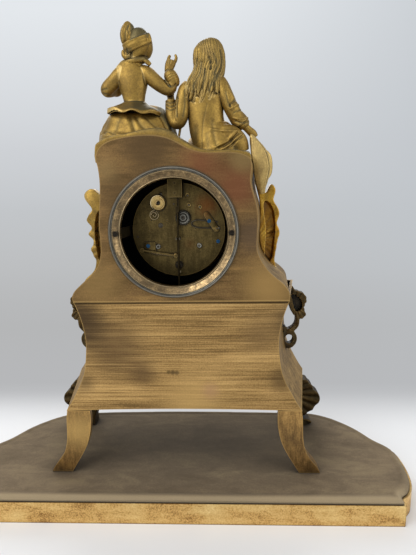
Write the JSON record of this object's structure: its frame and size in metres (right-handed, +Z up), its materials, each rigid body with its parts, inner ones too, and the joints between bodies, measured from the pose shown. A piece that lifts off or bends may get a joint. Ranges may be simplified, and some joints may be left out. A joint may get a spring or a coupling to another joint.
{
  "type": "figural mantel clock",
  "caption": "Gilt bronze mantel clock with two seated figures above a round open-backed movement, on scrolled feet, standing on a velvet-topped plinth.",
  "frame": {"origin": "middle of the plinth's underside", "axes": "+Z up, the dial faces -Y, the open back faces +Y, +X is to the left as seen from behind"},
  "size_m": [0.424, 0.158, 0.432],
  "materials": {
    "plinth_board": "plain board",
    "giltwood": "worn gold leaf over dark ground",
    "velvet": "worn taupe velvet",
    "case_bronze": "old gilding brushed thin over dark bronze",
    "figure_bronze": "bright worn gilding, dark in the recesses",
    "bezel_metal": "grey tarnished brass",
    "movement_brass": "olive aged brass",
    "dark_steel": "dark steel",
    "blued_steel": "blued steel",
    "dial_enamel": "white enamel",
    "glass": "clear"
  },
  "bodies": {
    "clock": {"plinth_core": "plinth_board", "plinth_moulding": "giltwood", "plinth_back_rail": "giltwood", "plinth_velvet": "velvet", "lower_case_body": "case_bronze", "lower_case_back": "case_bronze", "case_deck": "case_bronze", "upper_case_body": "case_bronze", "upper_case_back": "case_bronze", "rear_bezel": "bezel_metal", "bezel_screws": "dark_steel", "movement_straps": "movement_brass", "suspension_block": "movement_brass", "back_plate": "movement_brass", "front_plate": "movement_brass", "plate_pillars": "movement_brass", "plate_cocks": "movement_brass", "blue_screws": "blued_steel", "dial_surround": "case_bronze", "dial": "dial_enamel", "back_foot_left": "case_bronze", "back_foot_right": "case_bronze", "front_foot_left": "case_bronze", "front_foot_right": "case_bronze", "side_scroll_left": "case_bronze", "side_scroll_right": "case_bronze", "rocaille_left": "case_bronze", "rocaille_right": "case_bronze", "seat_mound": "figure_bronze", "lady_skirt": "figure_bronze", "lady_torso": "figure_bronze", "lady_head": "figure_bronze", "lady_left_arm": "figure_bronze", "lady_right_arm": "figure_bronze", "gentleman_body": "figure_bronze", "gentleman_head": "figure_bronze", "gentleman_left_arm": "figure_bronze", "gentleman_right_arm": "figure_bronze", "gentleman_hat": "figure_bronze"},
    "bezel": {"front_bezel": "case_bronze", "bezel_glass": "glass"},
    "centre_and_minute_hand": {"centre_wheel": "movement_brass", "minute_hand": "blued_steel"},
    "minute_wheel": {"minute_wheel": "movement_brass"},
    "hour_wheel_and_hand": {"hour_wheel": "movement_brass", "hour_hand": "blued_steel"},
    "second_wheel": {"second_wheel": "movement_brass"},
    "third_wheel": {"third_wheel": "movement_brass"},
    "escape_wheel": {"escape_wheel": "movement_brass"},
    "going_barrel": {"going_barrel": "movement_brass"},
    "pendulum": {"pendulum_rod": "dark_steel", "pendulum_bob": "movement_brass"},
    "pallets": {"pallets": "dark_steel"},
    "strike_barrel": {"strike_barrel": "movement_brass"},
    "pin_wheel": {"pin_wheel": "movement_brass"},
    "locking_wheel": {"locking_wheel": "movement_brass"},
    "fly": {"fly": "movement_brass"},
    "hammer": {"hammer": "movement_brass"},
    "going_winding_arbor": {"going_winding_arbor": "dark_steel"},
    "strike_winding_arbor": {"strike_winding_arbor": "dark_steel"}
  },
  "joints": [
    {"name": "bezel_hinge", "type": "hinge", "parent": "clock", "child": "bezel", "pos_m": [-0.0532, -0.0603, 0.2492], "axis": [0, 0, -1], "range_deg": [0, 105]},
    {"name": "minute_hand_turn", "type": "hinge", "parent": "clock", "child": "centre_and_minute_hand", "pos_m": [0.0044, -0.02, 0.2492], "axis": [0, 1, 0], "continuous": true},
    {"name": "minute_wheel_turn", "type": "hinge", "parent": "clock", "child": "minute_wheel", "pos_m": [0.0044, -0.02, 0.2372], "axis": [0, 1, 0], "continuous": true},
    {"name": "hour_hand_turn", "type": "hinge", "parent": "clock", "child": "hour_wheel_and_hand", "pos_m": [0.0044, -0.02, 0.2492], "axis": [0, 1, 0], "continuous": true},
    {"name": "second_wheel_turn", "type": "hinge", "parent": "clock", "child": "second_wheel", "pos_m": [-0.0114, -0.02, 0.25036], "axis": [0, 1, 0], "continuous": true},
    {"name": "third_wheel_turn", "type": "hinge", "parent": "clock", "child": "third_wheel", "pos_m": [0.01541, -0.02, 0.25853], "axis": [0, 1, 0], "continuous": true},
    {"name": "escape_wheel_turn", "type": "hinge", "parent": "clock", "child": "escape_wheel", "pos_m": [0.0044, -0.02, 0.2638], "axis": [0, 1, 0], "continuous": true},
    {"name": "going_barrel_turn", "type": "hinge", "parent": "clock", "child": "going_barrel", "pos_m": [-0.0154, -0.02, 0.2352], "axis": [0, 1, 0], "continuous": true},
    {"name": "strike_barrel_turn", "type": "hinge", "parent": "clock", "child": "strike_barrel", "pos_m": [0.0242, -0.02, 0.2352], "axis": [0, 1, 0], "continuous": true},
    {"name": "pin_wheel_turn", "type": "hinge", "parent": "clock", "child": "pin_wheel", "pos_m": [0.03204, -0.02, 0.24878], "axis": [0, 1, 0], "continuous": true},
    {"name": "locking_wheel_turn", "type": "hinge", "parent": "clock", "child": "locking_wheel", "pos_m": [0.03031, -0.02, 0.25862], "axis": [0, 1, 0], "continuous": true},
    {"name": "fly_turn", "type": "hinge", "parent": "clock", "child": "fly", "pos_m": [0.02587, -0.02, 0.26631], "axis": [0, 1, 0], "continuous": true},
    {"name": "going_winding", "type": "hinge", "parent": "clock", "child": "going_winding_arbor", "pos_m": [-0.0154, -0.02, 0.2352], "axis": [0, 1, 0], "continuous": true},
    {"name": "strike_winding", "type": "hinge", "parent": "clock", "child": "strike_winding_arbor", "pos_m": [0.0242, -0.02, 0.2352], "axis": [0, 1, 0], "continuous": true},
    {"name": "pendulum_swing", "type": "hinge", "parent": "clock", "child": "pendulum", "pos_m": [0.0044, 0.007, 0.27743], "axis": [0, 1, 0], "range_deg": [-3.5, 3.5]},
    {"name": "pallets_rock", "type": "hinge", "parent": "clock", "child": "pallets", "pos_m": [0.0044, -0.02, 0.27743], "axis": [0, 1, 0], "range_deg": [-3.5, 3.5]},
    {"name": "hammer_lift", "type": "hinge", "parent": "clock", "child": "hammer", "pos_m": [0.0394, -0.02, 0.2307], "axis": [0, 1, 0], "range_deg": [0, 10], "stiffness_Nm_per_rad": 0.001, "springref_deg": -5.73}
  ],
  "couplings": [
    {"joint": "minute_wheel_turn", "follows": "minute_hand_turn", "ratio": -0.33333},
    {"joint": "hour_hand_turn", "follows": "minute_hand_turn", "ratio": 0.083333},
    {"joint": "second_wheel_turn", "follows": "minute_hand_turn", "ratio": -0.2},
    {"joint": "going_barrel_turn", "follows": "minute_hand_turn", "ratio": 0.033333},
    {"joint": "third_wheel_turn", "follows": "minute_hand_turn", "ratio": -12},
    {"joint": "escape_wheel_turn", "follows": "minute_hand_turn", "ratio": 120},
    {"joint": "pin_wheel_turn", "follows": "strike_barrel_turn", "ratio": -6},
    {"joint": "locking_wheel_turn", "follows": "strike_barrel_turn", "ratio": 48},
    {"joint": "fly_turn", "follows": "strike_barrel_turn", "ratio": -336},
    {"joint": "pallets_rock", "follows": "pendulum_swing", "ratio": 1}
  ]
}
